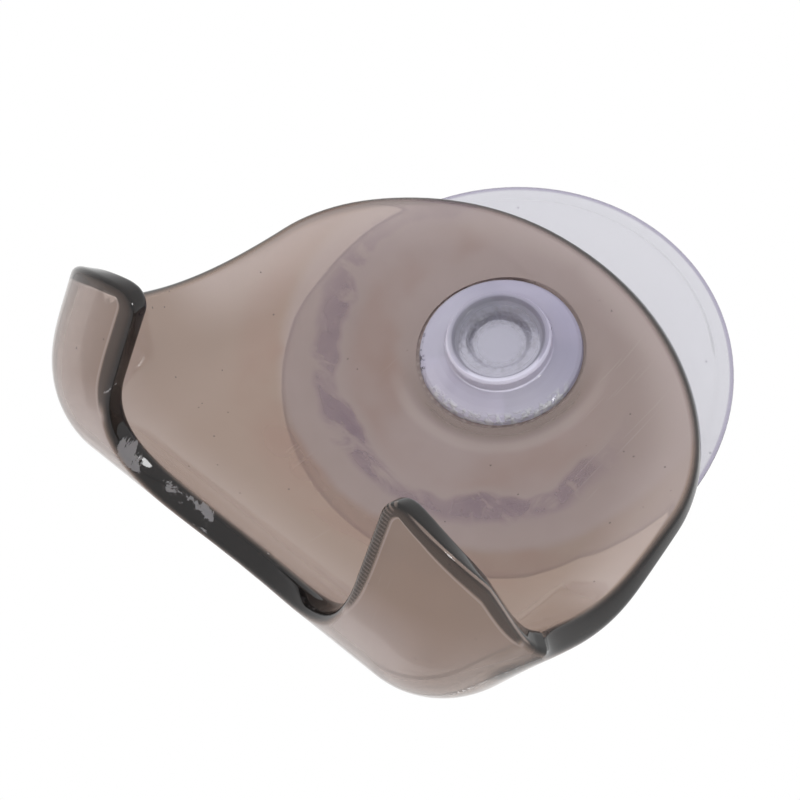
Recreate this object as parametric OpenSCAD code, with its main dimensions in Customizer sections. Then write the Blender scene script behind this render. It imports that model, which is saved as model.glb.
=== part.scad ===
// Razor holder: a clear moulded hook that hangs from a suction cup.
// Frame: +Z up, the front faces -Y, the wall is the plane Y = 0,
// and the origin is the centre of the cup where it meets the wall.
// All sizes are in millimetres.

/* [Panel of the hook] */
// Wall thickness of the moulded shell
wall_t = 3; // [2:0.1:4]
// Height of the crown above the hole, measured along the panel
crown_h = 14.7; // [13:0.5:20]
// Half width where the crown passes into the sides
crown_r = 28.8; // [26:0.1:31]
// Distance of that place below the hole
crown_drop = 4.1; // [1:0.1:6]
// Lean of the outline at that place
side_lean = 0.18; // [0.1:0.01:0.4]
// Pull of the outline away from the crown's top
pull_top = 17; // [12:0.5:20]
// Pull of the outline from the sides up to the crown
pull_up = 9; // [6:0.5:12]
// Pull of the outline from the crown down the sides
pull_down = 15; // [8:0.5:18]
// Pull of the outline from the prongs up the sides
pull_side = 14; // [8:0.5:16]
// Radius of the forward lean of the crown
crown_bend = 24; // [16:1:60]
// Length of the panel above the hole that stays flat
seat_s = 4; // [0:0.5:6]
// Radius of the shallow dish across the panel
dish_r = 204; // [120:1:600]
// Length below the hole over which the dish fades out
dish_over = 18; // [5:0.1:20]

/* [Trough] */
// Straight length of the panel below the hole
flat_l = 13; // [8:0.5:20]
// Radius of the first, slow bend
ease_r = 38; // [30:1:60]
// Turn of the first bend, in degrees
ease_turn = 28; // [15:1:35]
// Inside radius of the trough
trough_r = 13; // [10:0.5:16]
// Turn of the trough, in degrees
trough_turn = 96; // [80:1:105]
// Half width of the straight middle of the trough
floor_w = 20.5; // [18:0.5:24]
// Inside radius between the floor and the flared sides
side_r = 7; // [5:0.5:9]
// Angle of the flared sides from the floor, in degrees
side_turn = 58; // [40:1:65]
// Length below the hole where the sides start to flare
flare_from = 3.5; // [0:0.1:4]
// Length over which the flare grows to its full angle
flare_over = 24.1; // [20:0.1:32]
// Half width of the unrolled shell at its widest
flare_w = 36.6; // [33:0.2:40]
// Length of the panel from the hole to that widest point
flare_s = 43; // [38:0.5:46]

/* [Prongs] */
// Length of the shell from the hole to the prong tips
prong_s = 65; // [60:0.5:70]
// Clear width between the two prongs
notch_w = 34.4; // [28:0.2:36]
// Length of the shell from the hole to the bottom of the notch
notch_s = 41.4; // [38:0.2:46]
// Height of the rounded bottom of the notch
notch_round = 12.5; // [8:0.5:16]
// Corner radius of the prong tips beside the notch
tip_r = 2.2; // [1:0.1:3]
// Pull of the prongs' outer corner down along the side
corner_s = 9.5; // [6:0.5:12]
// Pull of the prongs' outer corner in along the tip
corner_w = 5.5; // [3:0.5:8]

/* [Suction cup] */
// Diameter of the cup
cup_d = 50; // [40:1:56]
// Distance from the wall to the back of the shell
cup_h = 3.6; // [3:0.1:6]
// Thickness of the thin sealing lip
lip_t = 0.7; // [0.5:0.1:1]
// Width of the thin sealing lip
lip_w = 1.8; // [1:0.1:3]
// Width of the flat ring that seals on the wall
seal_w = 3.5; // [2.5:0.5:6]
// Depth of the hollow behind the cup
hollow_h = 1.5; // [1:0.1:2.5]
// Diameter of the cup's flat shoulder behind the shell
shoulder_d = 19; // [14:0.5:24]
// Gap between the cup's shoulder and the shell
shoulder_gap = 0.3; // [0.2:0.05:0.5]

/* [Knob] */
// Diameter of the neck that passes through the shell
neck_d = 9; // [6:0.5:11]
// Running clearance around the neck, on the radius
neck_fit = 0.05; // [0.02:0.01:0.1]
// Diameter of the knob's flange
knob_d = 18; // [15:0.5:20]
// Height of the flange's rim above the shell
knob_rim = 1.1; // [0.8:0.1:2]
// Diameter of the raised ring on the knob
ring_d = 11.5; // [9:0.1:13]
// Height of the raised ring above the shell
ring_h = 3.8; // [3:0.1:5]
// Width of the raised ring
ring_w = 1; // [0.6:0.1:1.4]
// Diameter of the recess in the knob
recess_d = 6.6; // [4:0.2:8]
// Depth of the recess below the raised ring
recess_h = 1.6; // [1:0.1:2.4]
// Clearance of the round seat around the flange
seat_gap = 0.6; // [0.3:0.1:1]
// Depth of the round seat below the panel's face
seat_depth = 0.2; // [0.1:0.05:0.5]

/* [Hidden] */
$fn = 96;

deg = 180/PI;
front_y = -(cup_h + wall_t);    // front face of the panel at the hole
seat_y = front_y + seat_depth;  // face of the round seat
notch_hw = notch_w/2;
tip_u = notch_hw + tip_r;

// rows of the shell's grid, from the crown to the prong tips, and its columns
rows_crown = 9;
rows_panel = 17;
rows_notch = 9;
rows_side = 7;
rows_tip = 4;
rows = rows_crown + rows_panel + rows_notch + rows_side + rows_tip;
row_split = rows_crown + rows_panel;
cols = 13;

// ---- curves made of arcs: each piece is [length, curvature] ----
// gives [along, across, heading] after a length q
function walk(a, q, i = 0, x = 0, y = 0, h = 0) =
    let (last = i == len(a) - 1,
         d = last ? q : min(q, a[i][0]),
         k = a[i][1],
         h2 = h + k*d*deg,
         x2 = x + (abs(k) < 1e-6 ? d*cos(h) : (sin(h2) - sin(h))/k),
         y2 = y + (abs(k) < 1e-6 ? d*sin(h) : (cos(h) - cos(h2))/k))
    last || q <= a[i][0] ? [x2, y2, h2] : walk(a, q - a[i][0], i + 1, x2, y2, h2);

function ease(t) = let (c = max(0, min(1, t))) c*c*(3 - 2*c);
function mix(a, b, t) = a + (b - a)*t;

// the middle line of the panel and trough, from the crown down and forward
crown_l = crown_h - seat_s;
spine = [[crown_l, 1/crown_bend], [seat_s + flat_l, 0],
         [ease_r*ease_turn/deg, 1/ease_r],
         [trough_r*trough_turn/deg, 1/trough_r], [99, 0]];
hole_at = walk(spine, crown_h);

// a point of the middle line: [forward, up, heading from straight down]
function spine_pt(s) =
    let (p = walk(spine, max(0, s + crown_h)), a = p[0] - hole_at[0],
         b = p[1] - hole_at[1], c = hole_at[2])
    [b*cos(c) - a*sin(c), -(a*cos(c) + b*sin(c)), p[2] - c];

// the section across the shell at length s: dish, corner, flared side
function section(s) =
    let (turn = side_turn/deg*max(0.001, min(1, (s - flare_from)/flare_over)))
    [[floor_w, (1 - ease(s/dish_over))/dish_r], [side_r*turn, 1/side_r], [99, 0]];

// a point of the shell's front face, u across and s along
function skin(u, s) =
    let (m = spine_pt(s), w = walk(section(s), abs(u)))
    [sign(u)*w[0], front_y - m[0] - w[1]*cos(m[2]), m[1] + w[1]*sin(m[2])];

function unit(v) = v/norm(v);
function back(u, s) =
    let (e = 0.1)
    skin(u, s) + wall_t*unit(cross(skin(u + e, s) - skin(u - e, s),
                                   skin(u, s + e) - skin(u, s - e)));

// ---- outline of the shell, unrolled: [across, along] ----
// curve with two pulls
function pull(a, b, c, d, t) =
    a*pow(1 - t, 3) + 3*b*t*pow(1 - t, 2) + 3*c*t*t*(1 - t) + d*pow(t, 3);
lean = unit([side_lean, 1]);
end_u = tip_u + 0.1*tip_r;
outer_edge = concat(
    [for (i = [0 : rows_crown - 1]) let (t = mix(1/rows_crown, 1, i/rows_crown))
        [pull(0, pull_top, crown_r - pull_up*lean[0], crown_r, t),
         pull(-crown_h, -crown_h, crown_drop - pull_up*lean[1], crown_drop, t)]],
    [for (i = [0 : rows_panel - 1]) let (t = i/rows_panel)
        [pull(crown_r, crown_r + pull_down*lean[0], flare_w, flare_w, t),
         pull(crown_drop, crown_drop + pull_down*lean[1], flare_s - pull_side, flare_s, t)]],
    [for (i = [0 : rows - row_split]) let (t = i/(rows - row_split))
        [pull(flare_w, flare_w, end_u + corner_w, end_u, t),
         pull(flare_s, flare_s + corner_s, prong_s, prong_s, t)]]);
inner_edge = concat(
    [for (i = [0 : row_split - 1]) [0, mix(-crown_h, notch_s, i/row_split)]],
    [for (i = [0 : rows_notch - 1]) let (q = 90*i/rows_notch)
        [notch_hw*sin(q), notch_s + notch_round*(1 - cos(q))]],
    [for (i = [0 : rows_side - 1])
        [notch_hw, mix(notch_s + notch_round, prong_s - tip_r, i/rows_side)]],
    [for (i = [0 : rows_tip]) let (q = 84*i/rows_tip)
        [notch_hw + tip_r*(1 - cos(q)), prong_s - tip_r*(1 - sin(q))]]);

// the columns stand three times closer where the sides bend up
bend_a = floor_w - 0.5;
bend_b = floor_w + side_r*side_turn/deg + 0.5;
pack_up = [[0, 0], [bend_a, bend_a], [bend_b, bend_a + 3*(bend_b - bend_a)],
           [bend_b + 60, bend_a + 3*(bend_b - bend_a) + 60]];
unpack = [for (p = pack_up) [p[1], p[0]]];
// grid place of column i in row j
function place(j, i) =
    let (a = inner_edge[j], b = outer_edge[j],
         u = lookup(mix(lookup(a[0], pack_up), lookup(b[0], pack_up), i/cols), unpack))
    i == 0 ? a : i == cols ? b : mix(a, b, (u - a[0])/(b[0] - a[0]));

per = (rows + 1)*(cols + 1);
half = [for (j = [0 : rows], i = [0 : cols]) let (p = place(j, i)) skin(p[0], p[1])];
behind = [for (j = [0 : rows], i = [0 : cols]) let (p = place(j, i)) back(p[0], p[1])];
function flip(v) = [for (p = v) [-p[0], p[1], p[2]]];
shell_pts = concat(half, behind, flip(half), flip(behind));

// index of a grid point: side 0 right or 1 left, face 0 front or 1 back
function at(side, face, j, i) =
    (i == 0 && j <= row_split ? 0 : side*2*per) + face*per + j*(cols + 1) + i;
// a four-sided patch as two triangles, turned over when w is 1
function patch(a, b, c, d, w) = w == 0 ? [[a, b, c], [a, c, d]] : [[c, b, a], [d, c, a]];
shell_faces = [for (f = concat(
    [for (sd = [0, 1], fc = [0, 1], j = [0 : rows - 1], i = [0 : cols - 1])
        patch(at(sd, fc, j, i), at(sd, fc, j, i + 1), at(sd, fc, j + 1, i + 1),
              at(sd, fc, j + 1, i), (sd + fc) % 2)],
    [for (sd = [0, 1], j = [0 : rows - 1])
        patch(at(sd, 0, j, cols), at(sd, 1, j, cols), at(sd, 1, j + 1, cols),
              at(sd, 0, j + 1, cols), sd)],
    [for (sd = [0, 1], j = [row_split : rows - 1])
        patch(at(sd, 0, j, 0), at(sd, 1, j, 0), at(sd, 1, j + 1, 0),
              at(sd, 0, j + 1, 0), 1 - sd)],
    [for (sd = [0, 1], i = [0 : cols - 1])
        patch(at(sd, 0, 0, i), at(sd, 1, 0, i), at(sd, 1, 0, i + 1),
              at(sd, 0, 0, i + 1), sd)],
    [for (sd = [0, 1], i = [0 : cols - 1])
        patch(at(sd, 0, rows, i), at(sd, 1, rows, i), at(sd, 1, rows, i + 1),
              at(sd, 0, rows, i + 1), 1 - sd)])) each f];

// turns a revolved piece so that its axis points forward from the wall
module forward() { rotate([90, 0, 0]) children(); }

// the moulded hook: panel, trough, prongs, the hole and its round seat
module hook_shell() {
    color([0.52, 0.45, 0.40, 0.7])
    difference() {
        polyhedron(points = shell_pts, faces = shell_faces, convexity = 8);
        // hole for the neck
        forward() cylinder(d = neck_d + 2*neck_fit, h = cup_h + 3*wall_t);
        // flat seat for the flange
        translate([0, seat_y, 0])
            forward() cylinder(d = knob_d + 2*seat_gap, h = 2*wall_t);
    }
}

// half section of the cup and knob: [radius, distance from the wall]
module cup_section() {
    r = cup_d/2;
    seat = -seat_y;
    shoulder = cup_h - shoulder_gap;
    polygon([
        [0, hollow_h], [r*0.3, hollow_h*0.86], [r*0.6, hollow_h*0.44], [r - seal_w, 0],
        [r, 0], [r, lip_t*0.6], [r - lip_w, lip_t], [r - lip_w - 0.4, lip_t + 0.5],
        [mix(r, shoulder_d/2, 0.5), mix(lip_t + 0.5, shoulder, 0.42)],
        [shoulder_d/2 + 1, shoulder - 0.45], [shoulder_d/2, shoulder], [neck_d/2, shoulder],
        [neck_d/2, seat], [knob_d/2 - 0.2, seat],
        [knob_d/2, seat + 0.2], [knob_d/2 - 0.15, seat + knob_rim - 0.3],
        [knob_d/2 - 0.5, seat + knob_rim],
        [knob_d/2 - 1.2, seat + knob_rim + 0.5],
        [ring_d/2 + 0.5, seat + mix(knob_rim, ring_h, 0.62)],
        [ring_d/2, seat + ring_h - 0.6], [ring_d/2 - 0.3, seat + ring_h],
        [ring_d/2 - ring_w + 0.3, seat + ring_h],
        [ring_d/2 - ring_w, seat + ring_h - 0.6],
        [recess_d/2 + 0.3, seat + ring_h - 0.7], [recess_d/2, seat + ring_h - 1],
        [recess_d/2 - 0.4, seat + ring_h - recess_h], [0, seat + ring_h - recess_h]]);
}

// the soft cup with its neck and knob, moulded in one piece
module suction_cup() {
    color([0.80, 0.79, 0.88, 0.6]) forward() rotate_extrude() cup_section();
}

suction_cup();
hook_shell();
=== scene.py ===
# Looks of the razor holder: a smoke-tinted clear hook on a clear suction cup.
# Laid out as an add-on and run as a script. Metres, +Z up, the wall is the plane Y = 0.
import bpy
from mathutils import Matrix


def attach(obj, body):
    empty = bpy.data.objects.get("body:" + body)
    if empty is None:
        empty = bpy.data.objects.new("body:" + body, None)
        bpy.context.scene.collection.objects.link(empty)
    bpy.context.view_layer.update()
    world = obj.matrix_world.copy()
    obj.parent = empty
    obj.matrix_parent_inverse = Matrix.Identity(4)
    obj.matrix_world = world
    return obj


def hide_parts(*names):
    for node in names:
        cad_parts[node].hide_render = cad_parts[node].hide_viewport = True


bl_info = {
    "name": "Suction razor holder",
    "version": (1, 0, 0),
    "blender": (4, 5, 0),
    "location": "View3D > Sidebar > Holder",
    "description": "Builds a clear moulded razor hook, its suction cup and a plain studio",
    "category": "Add Mesh",
}

import math

import bmesh
import bpy
import numpy as np
from bpy.props import FloatProperty, FloatVectorProperty, IntProperty, PointerProperty
from mathutils import Matrix, Vector

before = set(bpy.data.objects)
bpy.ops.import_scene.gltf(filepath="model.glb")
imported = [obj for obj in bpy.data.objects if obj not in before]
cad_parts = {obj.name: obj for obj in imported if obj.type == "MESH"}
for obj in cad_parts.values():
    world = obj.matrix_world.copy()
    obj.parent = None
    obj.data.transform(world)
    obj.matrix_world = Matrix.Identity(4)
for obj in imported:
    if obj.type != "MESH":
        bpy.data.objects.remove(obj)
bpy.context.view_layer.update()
WELD = 2e-6  # places closer than this are one


def length(name, text, default):
    return FloatProperty(name=name, description=text, default=default, unit="LENGTH", precision=5)


def turn(name, text, degrees):
    return FloatProperty(
        name=name, description=text, default=math.radians(degrees), subtype="ANGLE")


def colour(name, text, default):
    return FloatVectorProperty(
        name=name, description=text, default=default, size=3, subtype="COLOR", min=0, max=1)


# ---------------------------------------- sizes


class ShellSizes(bpy.types.PropertyGroup):
    wall: length("Wall", "Thickness of the moulded wall", 0.003)
    crown_h: length("Crown height", "Height of the crown above the hole", 0.0147)
    crown_r: length("Crown half width", "Half width where crown and sides meet", 0.0288)
    crown_drop: length("Crown drop", "Distance of that place below the hole", 0.0041)
    side_lean: FloatProperty(name="Side lean", description="Lean of the outline at that place",
                             default=0.18)
    pull_top: length("Pull at the top", "Pull of the outline at the crown's top", 0.017)
    pull_up: length("Pull up", "Pull of the outline up to the crown", 0.009)
    pull_down: length("Pull down", "Pull of the outline down the sides", 0.015)
    pull_side: length("Pull at the sides", "Pull of the outline from the prongs up", 0.014)
    crown_bend: length("Crown bend", "Radius of the forward lean of the crown", 0.024)
    seat_s: length("Flat above hole", "Length above the hole that stays flat", 0.004)
    dish_r: length("Dish radius", "Radius of the shallow dish across the panel", 0.204)
    dish_over: length("Dish fade", "Length over which the dish fades out", 0.018)
    flat_l: length("Flat below hole", "Straight length of the panel below the hole", 0.013)
    ease_r: length("First bend radius", "Radius of the first, slow bend", 0.038)
    ease_turn: turn("First bend turn", "Turn of the first bend", 28)
    trough_r: length("Trough radius", "Inside radius of the trough", 0.013)
    trough_turn: turn("Trough turn", "Turn of the trough", 96)
    floor_w: length("Floor half width", "Half width of the trough's straight middle", 0.0205)
    side_r: length("Side radius", "Inside radius beside the floor", 0.007)
    side_turn: turn("Side turn", "Angle of the flared sides from the floor", 58)
    flare_from: length("Flare start", "Length below the hole where the flare starts", 0.0035)
    flare_over: length("Flare growth", "Length over which the flare grows", 0.0241)
    flare_w: length("Flare half width", "Half width of the shell at its widest", 0.0366)
    flare_s: length("Flare length", "Length from the hole to the widest point", 0.043)
    prong_s: length("Prong length", "Length from the hole to the prong tips", 0.065)
    notch_w: length("Notch width", "Clear width between the prongs", 0.0344)
    notch_s: length("Notch start", "Length from the hole to the bottom of the notch", 0.0414)
    notch_round: length("Notch round", "Height of the rounded bottom of the notch", 0.0125)
    tip_r: length("Tip radius", "Corner radius of the prong tips", 0.0022)
    corner_s: length("Corner pull along", "Pull of the prongs' outer corner along the side", 0.0095)
    corner_w: length("Corner pull across", "Pull of the prongs' outer corner along the tip", 0.0055)
    blend: length("Blend", "Length over which one bend passes into the next", 0.006)
    even: length("Evening", "Length over which the flared sides are evened out", 0.009)
    edge_r: length("Edge radius", "Rounding of the moulding's edges", 0.0009)
    hole_r: length("Hole radius", "Radius of the hole for the neck", 0.00455)
    seat_r: length("Seat radius", "Radius of the round seat for the flange", 0.0093)
    seat_depth: length("Seat depth", "Depth of the round seat", 0.0002)


class CupSizes(bpy.types.PropertyGroup):
    rim_r: length("Cup radius", "Radius of the cup", 0.025)
    height: length("Cup height", "From the wall to the back of the shell", 0.0036)
    lip_t: length("Lip thickness", "Thickness of the sealing lip", 0.0007)
    lip_w: length("Lip width", "Width of the sealing lip", 0.0018)
    seal_w: length("Seal width", "Width of the flat ring on the wall", 0.0035)
    hollow: length("Hollow depth", "Depth of the hollow behind the cup", 0.0015)
    shoulder_r: length("Shoulder radius", "Radius of the flat shoulder behind the shell", 0.0095)
    shoulder_gap: length("Shoulder gap", "Gap between the shoulder and the shell", 0.0003)
    neck_r: length("Neck radius", "Radius of the neck", 0.0045)
    knob_r: length("Knob radius", "Radius of the knob's flange", 0.009)
    knob_rim: length("Knob rim", "Height of the flange's rim", 0.0011)
    ring_r: length("Ring radius", "Radius of the raised ring", 0.00575)
    ring_h: length("Ring height", "Height of the raised ring", 0.0038)
    ring_w: length("Ring width", "Width of the raised ring", 0.001)
    recess_r: length("Recess radius", "Radius of the blind recess", 0.0033)
    recess_h: length("Recess depth", "Depth of the blind recess", 0.0016)
    segments: IntProperty(name="Segments", description="Faces around the cup", default=128,
                          min=24, max=256)


class HolderColours(bpy.types.PropertyGroup):
    smoke: colour("Smoke tint", "Grey-brown tint of the shell", (0.415, 0.313, 0.260))
    # painted light: the panel's paler tint where the cup behind it sends light back through it
    smoke_backed: colour("Smoke tint over the cup", "Tint where the cup lies behind the panel",
                         (0.465, 0.375, 0.355))
    # painted sheen and highlight: the pale tint of the painted sheen along the rim and outside the
    # bend, of the painted reflection arc by the knob and of the painted highlight line along the
    # prongs
    smoke_pale: colour("Smoke tint, pale", "Tint along the rim and outside the bend",
                       (0.66, 0.56, 0.53))
    # painted reflection: a dark tan glint painted at the right corner
    smoke_tan: colour("Smoke tint, tan", "Tan tint at the right corner", (0.07, 0.03, 0.01))
    smoke_cool: colour("Cool ring", "Violet ring in the panel", (0.205, 0.132, 0.195))
    smoke_warm: colour("Warm zones", "Reddish zones beside the ring", (0.385, 0.250, 0.205))
    smoke_lit: colour("Smoke tint, lit edge", "Light coming through the right prong's edge",
                      (0.42, 0.33, 0.29))
    # painted shade: the near-black of the edges stands in for the dark that the long path through
    # the tinted plastic gives
    smoke_edge: colour("Shell edge", "Near-black tone of the shell's edges", (0.010, 0.009, 0.009))
    # painted reflection: the light grey of patches on the notch's edge, which are also rougher and
    # raised
    notch_reflection: colour("Scuffs", "Light grey of the worn notch edge", (0.36, 0.36, 0.38))
    clear: colour("Cup tint", "Pale violet-grey of the cup", (0.76, 0.755, 0.80))
    clear_dark: colour("Cup tint, darker", "Second tone of the cup", (0.70, 0.695, 0.75))
    cup_rim: colour("Cup rim", "Violet line of the cup's rim", (0.30, 0.26, 0.40))
    # painted light and shade: the knob keeps its pale tint at its lower front and takes the darker
    # tone above it; the darker tone also mixes in as a random cloud
    knob: colour("Knob tint", "Milky violet of the knob", (0.86, 0.83, 1.0))
    knob_dark: colour("Knob tint, darker", "Second tone of the knob", (0.37, 0.345, 0.52))


class StageSizes(bpy.types.PropertyGroup):
    floor_z: length("Floor height", "Height of the floor below the holder", -0.17)
    lamp: FloatProperty(name="Lamp power", description="Power that the lamps take their shares of",
                        default=15.5, min=0, unit="POWER")


# ---------------------------------------- nodes


class Nodes:
    """Adds nodes to a tree. A value is a number, a vector, a colour or another node's output."""

    def __init__(self, tree):
        self.tree = tree

    def feed(self, socket, value):
        if hasattr(value, "is_linked"):
            self.tree.links.new(value, socket)
        elif socket.type == "RGBA":
            socket.default_value = (*value, 1.0)
        else:
            socket.default_value = value

    def add(self, kind, inputs=None, **settings):
        node = self.tree.nodes.new(kind)
        for key, value in settings.items():
            setattr(node, key, value)
        for key, value in (inputs or {}).items():
            self.feed(node.inputs[key], value)
        return node

    def maths(self, op, a, b=None, clamp=False):
        inputs = {0: a} if b is None else {0: a, 1: b}
        return self.add("ShaderNodeMath", inputs, operation=op, use_clamp=clamp).outputs[0]

    def times(self, value, *others):
        for other in others:
            value = self.maths("MULTIPLY", value, other)
        return value

    def plus(self, a, b, clamp=False):
        return self.maths("ADD", a, b, clamp)

    def rest(self, share):
        """What a share leaves of 1."""
        return self.maths("SUBTRACT", 1.0, share)

    def ramp(self, value, lo, hi, how="SMOOTHSTEP"):
        """0 up to lo, 1 from hi."""
        return self.add("ShaderNodeMapRange", {"From Min": lo, "From Max": hi, "Value": value},
                        interpolation_type=how).outputs[0]

    def zone(self, value, places):
        """1 between the middle two of four places, fading to 0 at the outer two."""
        return self.times(self.ramp(value, *places[:2]), self.rest(self.ramp(value, *places[2:])))

    def mix(self, share, a, b):
        return self.add("ShaderNodeMix", {0: share, 6: a, 7: b}, data_type="RGBA").outputs[2]

    def layered(self, tone, layers):
        """A tone under layers, each a mask, how strongly it covers, and its tone."""
        for mask, strength, other in layers:
            tone = self.mix(self.times(mask, strength), tone, other)
        return tone

    def noise(self, where, scale, detail, **more):
        inputs = {"Vector": where, "Scale": scale, "Detail": detail, **more}
        return self.add("ShaderNodeTexNoise", inputs).outputs["Fac"]

    def wear(self, inputs):
        """Scratches, specks and cloud of the shared effect."""
        return self.add("ShaderNodeGroup", inputs, node_tree=handling_wear()).outputs

    def attribute(self, name):
        return self.add("ShaderNodeAttribute", attribute_name=name).outputs["Fac"]

    def radius(self, where):
        """Distance from the axis of the hole."""
        flat = self.add("ShaderNodeVectorMath", {0: where, 1: (1, 0, 1)}, operation="MULTIPLY")
        size = self.add("ShaderNodeVectorMath", {0: flat.outputs[0]}, operation="LENGTH")
        return size.outputs["Value"]

    def towards(self, where, direction):
        """How far a place lies in a direction."""
        return self.add("ShaderNodeVectorMath", {0: where, 1: direction},
                        operation="DOT_PRODUCT").outputs["Value"]


def sockets(group, ins, outs):
    """Named inputs (kind, name, default) and outputs (kind, name) of a node group."""
    for kind, name, default in ins:
        s = group.interface.new_socket(name, in_out="INPUT", socket_type="NodeSocket" + kind)
        if default is not None:
            s.default_value = default
    for kind, name in outs:
        group.interface.new_socket(name, in_out="OUTPUT", socket_type="NodeSocket" + kind)


# ---------------------------------------- the shell's rule

SPINES = {}  # profiles already walked, by the sizes that shape them
BEYOND_CROWN, BEYOND_TIP = 0.003, 0.03  # how far the rule runs past the shell's two ends
SPINE_STEP = 1e-5
STRAIGHT = 1e-6  # a curvature below this is none
FLARE_SOFT, FLARE_LEAST = 0.22, 0.001  # shares that round its ends and that it keeps
EVENED = (0.004, 0.008)  # beside the floor: where the evening starts, and its growth
EVEN_WEIGHTS = {0: 1.0, 1: 0.85, -1: 0.85, 2: 0.5, -2: 0.5, 3: 0.15, -3: 0.15}
ROWS = (9, 17, 9, 7, 4)  # of faces: crown, panel, notch, its side, tip
CROWN_FROM = 0.04  # the outer side starts at this share of the crown's curve
TIP_TURN = 84  # degrees of the rounding at the inner corner of a tip


def walk(pieces, q):
    """Follows arcs of (length, curvature) for a length q: how far along, how far across, turn."""
    left = np.array(q, float)
    x = y = h = np.zeros_like(left)
    for k, (run, bend) in enumerate(pieces):
        d = left if k == len(pieces) - 1 else np.minimum(left, run)
        bend = np.broadcast_to(np.asarray(bend, float), left.shape)
        straight = np.abs(bend) < STRAIGHT
        safe = np.where(straight, 1.0, bend)
        h2 = h + bend * d
        x = x + np.where(straight, d * np.cos(h), (np.sin(h2) - np.sin(h)) / safe)
        y = y + np.where(straight, d * np.sin(h), (np.cos(h) - np.cos(h2)) / safe)
        h, left = h2, left - d
    return x, y, h


def summed(steps):
    return np.concatenate([[0.0], np.cumsum(steps)])


def ease(t):
    t = np.clip(t, 0, 1)
    return t * t * (3 - 2 * t)


def rise(value, start, over):
    """0 up to a start, 1 from a length past it."""
    return ease((value - start) / over)


def settle(t, soft):
    """A rise from 0 to 1 whose two ends are rounded over a share of its length."""
    start = np.where(t < soft, np.maximum(t + soft, 0) ** 2 / (4 * soft), t)
    return np.where(t > 1 - soft, 1 - np.maximum(1 + soft - t, 0) ** 2 / (4 * soft), start)


def spine(z, s):
    """The profile's middle line, its bends blended: how far along, how far across, heading."""
    key = (z.crown_h, z.seat_s, z.crown_bend, z.flat_l, z.ease_r, z.ease_turn,
           z.trough_r, z.trough_turn, z.blend)
    if key not in SPINES:
        step = SPINE_STEP
        ends = np.cumsum([-z.seat_s, z.seat_s + z.flat_l, z.ease_r * z.ease_turn,
                          z.trough_r * z.trough_turn])
        grid = np.arange(-z.crown_h - BEYOND_CROWN, ends[-1] + BEYOND_TIP, step)
        bends = np.array([1 / z.crown_bend, 0.0, 1 / z.ease_r, 1 / z.trough_r, 0.0])
        total = summed(bends[np.searchsorted(ends, grid)] * step)
        half = z.blend / 2
        grid = np.append(grid, grid[-1] + step)
        area = summed((total[1:] + total[:-1]) / 2 * step)
        turned = (np.interp(grid + half, grid, area) - np.interp(grid - half, grid, area)) / z.blend
        near_ends = (grid < grid[0] + half) | (grid > grid[-1] - half)
        turned[near_ends] = total[near_ends]
        heading = turned - np.interp(0.0, grid, turned)
        x = summed(np.cos(heading[:-1]) * step)
        y = summed(np.sin(heading[:-1]) * step)
        SPINES[key] = grid, x - np.interp(0.0, grid, x), y - np.interp(0.0, grid, y), heading
    grid, x, y, heading = SPINES[key]
    return np.interp(s, grid, x), np.interp(s, grid, y), np.interp(s, grid, heading)


def sharp_skin(z, front_y, u, s):
    """Points of the shell's front face by the rule, u across and s along, both unrolled."""
    down, forward, heading = spine(z, s)
    grown = settle((s - z.flare_from) / z.flare_over, FLARE_SOFT)
    flare = z.side_turn * np.maximum(grown, FLARE_LEAST)
    dish = (1 - ease(s / z.dish_over)) / z.dish_r
    pieces = [(z.floor_w, dish), (z.side_r * flare, 1 / z.side_r), (1.0, 0.0)]
    along, across, _ = walk(pieces, np.abs(u))
    return np.stack([
        np.sign(u) * along,
        front_y - forward - across * np.cos(heading),
        across * np.sin(heading) - down], -1)


def skin(z, front_y, u, s):
    """The same, evened out along s where the sides are flared."""
    u, s = np.broadcast_arrays(np.asarray(u, float), np.asarray(s, float))
    reach = z.even * rise(np.abs(u) - z.floor_w, *EVENED)
    whole = sum(EVEN_WEIGHTS.values())
    return sum(sharp_skin(z, front_y, u, s + reach * k / 4) * (weight / whole)
               for k, weight in EVEN_WEIGHTS.items())


def frame_at(z, front_y, u, s, e=2e-5):
    """The front face's two directions and its normal towards the back."""
    du = (skin(z, front_y, u + e, s) - skin(z, front_y, u - e, s)) / (2 * e)
    ds = (skin(z, front_y, u, s + e) - skin(z, front_y, u, s - e)) / (2 * e)
    n = np.cross(du, ds)
    return du, ds, n / np.linalg.norm(n, axis=-1, keepdims=True)


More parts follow.
